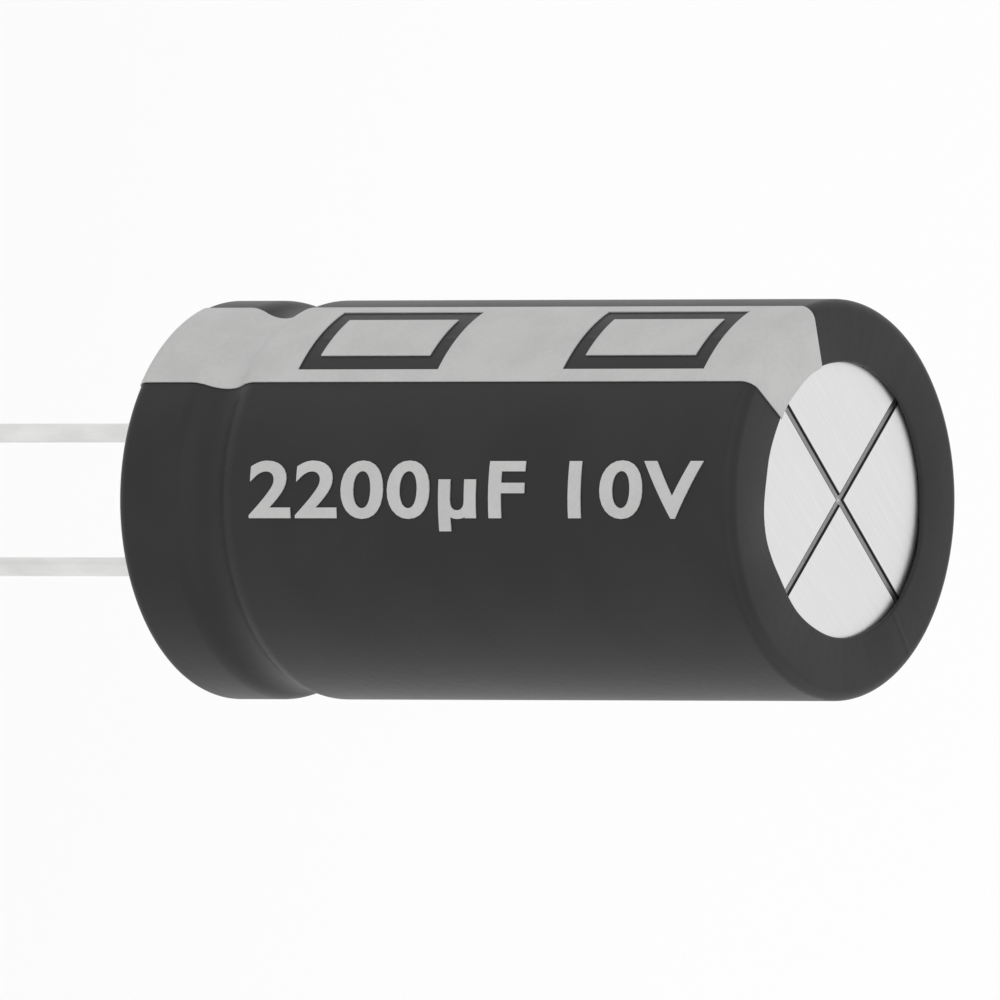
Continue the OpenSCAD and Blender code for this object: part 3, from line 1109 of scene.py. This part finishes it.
etched = sheet_finish(
    "etched_foil", {"Metallic": 0.7},
    dark=(0.25, 0.25, 0.27), light=(0.36, 0.36, 0.38), squeeze=(3, 3, 3), rough=0.6,
)
plain = sheet_finish(
    "cathode_foil", {"Metallic": 1.0},
    dark=(0.5, 0.5, 0.52), light=(0.62, 0.62, 0.64), squeeze=(3, 3, 0.3), rough=0.4,
)
paper = sheet_finish(
    "soaked_paper", {},
    dark=(0.55, 0.45, 0.3), light=(0.72, 0.62, 0.45), squeeze=(2, 2, 0.5), rough=0.7,
)
tape = sheet_finish(
    "amber_tape", {"Coat Weight": 0.5},
    dark=(0.6, 0.42, 0.14), light=(0.7, 0.52, 0.2), squeeze=(0.5, 0.5, 1), rough=0.3,
)
tab_metal = sheet_finish(
    "tab_metal", {"Metallic": 1.0},
    dark=(0.66, 0.66, 0.67), light=(0.78, 0.78, 0.79), squeeze=(3, 3, 0.3), rough=0.3,
)
INSIDE = {
    "anode_foil": etched,
    "cathode_foil": plain,
    "inner_paper": paper,
    "outer_paper": paper,
    "closing_tape": tape,
    "positive_tab": tab_metal,
    "negative_tab": tab_metal,
}
for node, finish in INSIDE.items():
    wear(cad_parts[node], finish)

# %% [markdown]
# ## Joining the frame
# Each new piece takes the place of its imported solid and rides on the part's one body.
# The rating has no solid of its own, because ink without a shape stays out of the solids.

# %% Ride and replace
STANDS_FOR = (
    (film, "sleeve", "sleeve"),
    (stripe, "stripe_print", "print"),
    (rating, None, "print"),
    (can, "can", "can"),
    (bung, "bung", "bung"),
    (positive_wire, "positive_lead", "lead"),
    (negative_wire, "negative_lead", "lead"),
)
for piece, node, slot in STANDS_FOR:
    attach(piece, "root")
    if node:
        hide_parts(node)
    print(f"{piece.name} has slot {slot} and stands for {node}")

# %% [markdown]
# ## The floor
# The part stands by its longer lead on a plain pale floor. Matt paint alone would render
# a little darker than the white room, and more light would bleach the part. So the floor
# glows a little, but only for the camera and for reflections, and that glow doesn't light
# the part. The shadow stays, because the paint still takes it. From below the floor is
# clear, so that the underside can be looked at too.

# %% Lay the floor
FLOOR_R = 3.0
FLOOR_SIDES = 96
FLOOR_GREY = 0.8
FLOOR_GLOW = 0.11

bpy.ops.object.select_all(action="DESELECT")
bpy.ops.mesh.primitive_circle_add(
    vertices=FLOOR_SIDES, radius=FLOOR_R, fill_type="NGON", location=(0, 0, cad_box[0].z)
)
floor = bpy.context.object
floor.name = "floor"
bpy.ops.object.transform_apply(location=True)
floor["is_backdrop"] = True

paint = Finish("floor_paint", {})
paint.tree.nodes.remove(paint.shader)
matt = paint.node("ShaderNodeBsdfDiffuse", {}, {"Color": (FLOOR_GREY,) * 3 + (1,)})
glow = paint.node("ShaderNodeEmission", {}, {"Color": (1, 1, 1, 1), "Strength": FLOOR_GLOW})
lit = paint.node("ShaderNodeAddShader", {}, {0: matt, 1: glow})
by_camera = paint.node("ShaderNodeLightPath", {}, {}, "Is Camera Ray")
by_gloss = paint.node("ShaderNodeLightPath", {}, {}, "Is Glossy Ray")
shown = paint.maths("MAXIMUM", by_camera, by_gloss)
upper = paint.node("ShaderNodeMixShader", {}, {0: shown, 1: matt, 2: lit})
from_below = paint.node("ShaderNodeNewGeometry", {}, {}, "Backfacing")
clear = paint.node("ShaderNodeBsdfTransparent", {}, {})
both = paint.node("ShaderNodeMixShader", {}, {0: from_below, 1: upper, 2: clear})
paint.tree.links.new(both.socket, paint.tree.nodes["Material Output"].inputs["Surface"])
wear(floor, paint)

# %% [markdown]
# ## The light
# A plain white room gives most of the light, so a colour renders about as it is written
# and nothing is left in the dark. Three large soft panels, each a third as bright as the
# room, stand round the part, so that the film's curves catch a soft highlight. They could
# be stronger and the room darker, but then the bare metal clips to white where it mirrors
# them. An area lamp needs 4 watts for each square metre to look as bright as a white of 1.

# %% Light the room
PANEL_GLOW = 0.35
WATTS_PER_GLOW = 4

world = bpy.data.worlds.new("white_room")
world.use_nodes = True
bpy.context.scene.world = world
room = world.node_tree.nodes["Background"]
room.inputs["Color"].default_value = (1, 1, 1, 1)
room.inputs["Strength"].default_value = 1.0


def panel(name, azimuth, elevation, distance, width, height):
    """A soft panel that faces the part: azimuth 0 is at -Y."""
    turned = math.radians(azimuth)
    raised = math.radians(elevation)
    away = Vector((
        math.sin(turned) * math.cos(raised), -math.cos(turned) * math.cos(raised), math.sin(raised)
    ))
    data = bpy.data.lights.new(name, "AREA")
    data.shape = "RECTANGLE"
    data.size = width
    data.size_y = height
    data.energy = PANEL_GLOW * WATTS_PER_GLOW * width * height
    lamp = bpy.data.objects.new(name, data)
    lamp.location = Vector((0, 0, body_l / 2 * MM)) + away * distance
    lamp.rotation_mode = "QUATERNION"
    lamp.rotation_quaternion = away.to_track_quat("Z", "Y")
    bpy.context.scene.collection.objects.link(lamp)
    print(f"{name}: {data.energy:.3f} W at {distance} m")


panel("key_panel", azimuth=-80, elevation=25, distance=0.30, width=0.40, height=0.24)
panel("fill_panel", azimuth=0, elevation=30, distance=0.32, width=0.30, height=0.20)
panel("back_panel", azimuth=75, elevation=30, distance=0.32, width=0.30, height=0.20)

# %% [markdown]
# ## Last measures
# The dressed part has to keep the size of the solids, so both boxes are printed.

# %% Measure and finish
bpy.context.view_layer.update()
made_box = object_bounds()
sizes = {"cad": [list(corner) for corner in cad_box], "made": [list(corner) for corner in made_box]}
for name, box in sizes.items():
    print(name, [[round(value / MM, 3) for value in corner] for corner in box])
